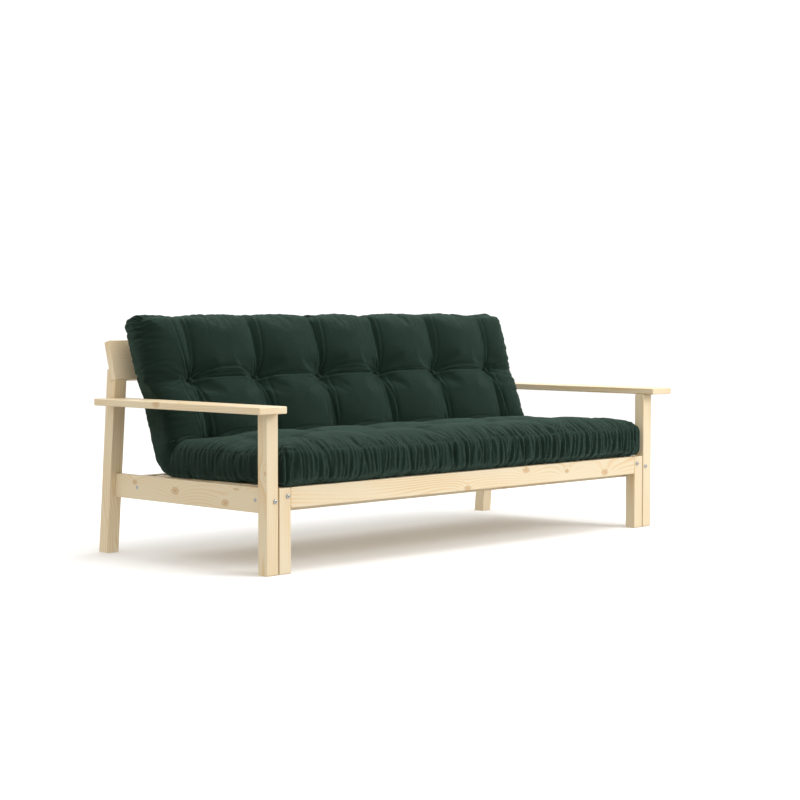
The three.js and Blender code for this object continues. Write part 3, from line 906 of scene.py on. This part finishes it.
# ------------------------------------------------------------------ keeping clear of the frame

HAIR = 0.0006
SIDE_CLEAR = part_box("armrest_right")[0][0] - 0.0005
SIDE_SOFT = SIDE_CLEAR - 0.022
ARM_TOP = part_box("armrest_right")[1][2] + 0.010
ARM_SPARE = 0.03  # more room above the armrests
ARM_SPAN = 0.06
REAR_CLEAR = PIVOT.z - SLAT_TOP - HAIR  # so that the back lies on the slats when it is down
REAR_SOFT = REAR_CLEAR - 0.010


def excess(reach, room):
    """What is taken off a reach past a soft limit, so that it never passes the room left."""
    return reach - room * np.tanh(reach / room)


def kept_clear(points, flat):
    """Pushes points off the armrests and slats, and off the fold's mid plane in the crease."""
    s, t = flat[:, 1], flat[:, 2]
    clear = points.copy()
    spare = ARM_SPARE * np.clip((points[:, 2] - ARM_TOP) / ARM_SPAN, 0, 1)
    reach = np.maximum(np.abs(points[:, 0]) - SIDE_SOFT - spare, 0)
    clear[:, 0] -= np.sign(points[:, 0]) * excess(reach, SIDE_CLEAR - SIDE_SOFT)
    clear[:, 2] = np.maximum(clear[:, 2], SLAT_TOP + HAIR)
    middle = np.array(MID_PLANE)
    side = (points - (0, BEND_Y, BEND_Z)) @ middle
    inner = t > THICK / 2
    low = inner & (s < FOLD) & (side > -HAIR)
    high = inner & (s >= FOLD) & (side < HAIR)
    clear[low] -= np.outer(side[low] + HAIR, middle)
    clear[high] -= np.outer(side[high] - HAIR, middle)
    rear = np.array([0, math.cos(LEAN), -math.sin(LEAN)])
    proud = (clear - np.array(PIVOT)) @ rear - REAR_SOFT
    over = (s > FOLD) & (proud > 0)
    clear[over] -= np.outer(excess(proud[over], REAR_CLEAR - REAR_SOFT), rear)
    return clear


def make_mattress(material):
    flat, faces = slab_grid(GRID)
    mattress = mesh_object("mattress", folded(stuffed(flat)), faces.tolist())
    keep_flat(mattress.data, flat)
    inflate(mattress, flat)
    subdivide(mattress)
    mesh = mattress.data
    fine = read_flat(mesh)
    depth = tuft_creases(fine) + border_depth(fine) + rolling(fine)
    points = read_points(mesh) - normals(mesh) * depth[:, None]
    write_points(mesh, kept_clear(points, fine))
    mesh.materials.clear()
    mesh.materials.append(material)
    return mattress, fine


# ------------------------------------------------------------------ covered buttons

BUTTON_RADIUS = 0.0105
BUTTON_TOP = 0.0062
BUTTON_RINGS = (  # share of the radius, and height
    (0.40, 0.0058),
    (0.72, 0.0042),
    (0.93, 0.0016),
    (1.0, -0.0012),
    (0.86, -0.0040),
    (0.45, -0.0052),
)
BUTTON_SIDES = 28
BUTTON_PLEATS = 14
PLEAT_DEPTH = 0.035
BUTTON_LIFT = 0.012
REAR_BUTTON_LIFT = -0.001
TUFT_POINTS = 9  # the cover's points whose mean is a button's place
TUFT_AROUND = 0.03  # radius over which the cover's direction is taken


def button_shape():
    """A domed button covered in cloth that is drawn in at its rim."""
    turn = np.arange(BUTTON_SIDES) / BUTTON_SIDES * 2 * math.pi
    points = [(0, 0, BUTTON_TOP)]
    for share, height in BUTTON_RINGS:
        ring = BUTTON_RADIUS * share * (1 + PLEAT_DEPTH * np.cos(turn * BUTTON_PLEATS) * share**4)
        points += list(zip(ring * np.cos(turn), ring * np.sin(turn), np.full(BUTTON_SIDES, height)))
    points.append((0, 0, BUTTON_RINGS[-1][1]))
    last = len(points) - 1
    base = last - BUTTON_SIDES
    faces = []
    for k in range(BUTTON_SIDES):
        n = (k + 1) % BUTTON_SIDES
        faces.append((0, 1 + k, 1 + n))
        for a in range(1, base, BUTTON_SIDES):
            b = a + BUTTON_SIDES
            faces.append((a + k, b + k, b + n, a + n))
        faces.append((last, base + n, base + k))
    return np.array(points), faces


def tuft_place(points, ways, flat, x, s, top):
    """Place and outward direction of the cover at a tuft."""
    gap = np.linalg.norm(flat - (x, s, THICK if top else 0.0), axis=1)
    place = points[np.argsort(gap)[:TUFT_POINTS]].mean(0)
    out = ways[gap < TUFT_AROUND].mean(0)
    return Vector(place), Vector(out).normalized()


def make_buttons(mattress, flat, material):
    """All the buttons as one piece, without those that the crease of the fold buries."""
    shape, shape_faces = button_shape()
    cover, ways = read_points(mattress.data), normals(mattress.data)
    points, faces, flats = [], [], []
    for row in ROWS:
        for column in COLUMNS:
            for top in (True, False):
                if top and row == FOLD:
                    continue
                place, out = tuft_place(cover, ways, flat, column, row, top)
                turn = np.array(out.to_track_quat("Z", "Y").to_matrix())
                lift = BUTTON_LIFT if top else REAR_BUTTON_LIFT
                start = len(points) * len(shape)
                points.append(shape @ turn.T + np.array(place + out * lift))
                flats.append(shape + (column, row, 0))
                faces += [tuple(start + k for k in face) for face in shape_faces]
    buttons = mesh_object("tuft_buttons", np.concatenate(points), faces)
    keep_flat(buttons.data, np.concatenate(flats))
    buttons.data.materials.append(material)
    return buttons


# ------------------------------------------------------------------ the frame's own materials

# Middle and radius of each listed knot.
SIDE_KNOTS = (
    ((-0.998, 0.294, 0.261), 0.009),
    ((-0.998, 0.069, 0.245), 0.013),
    ((-0.998, -0.197, 0.223), 0.012),
)
FRONT_KNOTS = (
    ((0.259, -0.433, 0.271), 0.012),
    ((0.496, -0.433, 0.253), 0.008),
    ((0.727, -0.433, 0.235), 0.013),
    ((-0.060, -0.433, 0.224), 0.011),
)
LEG_KNOTS = (
    ((-1.020, 0.412, 0.109), 0.007),
    ((-1.020, -0.425, 0.335), 0.005),
    ((0.873, -0.433, 0.159), 0.004),
)
ARM_KNOTS = (((-1.090, 0.054, 0.548), 0.013),)
RAIL_PITH = (0.075, 0.05)
LEG_PITH = (0.12, 0.09)
SHARP_ANGLE = math.radians(32)


def finish_frame():
    """Pine along each board's length, zinc on the fittings, and smooth rounded edges."""
    boards = (
        pine("pine_along_x", "x", FRONT_KNOTS, RAIL_PITH),
        pine("pine_along_y", "y", SIDE_KNOTS + ARM_KNOTS, RAIL_PITH),
        pine("pine_along_z", "z", LEG_KNOTS, LEG_PITH),
    )
    metal = zinc()
    for name, node in frame["nodes"].items():
        low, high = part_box(name)
        wood = boards[int(np.argmax(np.subtract(high, low)))]
        fitting = node.data.materials[0].name.startswith("zinc")
        node.material_slots[0].material = metal if fitting else wood
        node.data.polygons.foreach_set("use_smooth", np.ones(len(node.data.polygons), bool))
        node.data.set_sharp_from_angle(angle=SHARP_ANGLE)


# ------------------------------------------------------------------ the scene

make_camera()
make_light()
make_floor()
finish_frame()

cloth = cotton()
mattress, flat = make_mattress(cloth)
buttons = make_buttons(mattress, flat, cloth)
for piece in (mattress, buttons):
    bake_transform(piece)
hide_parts("mattress_seat", "mattress_back")
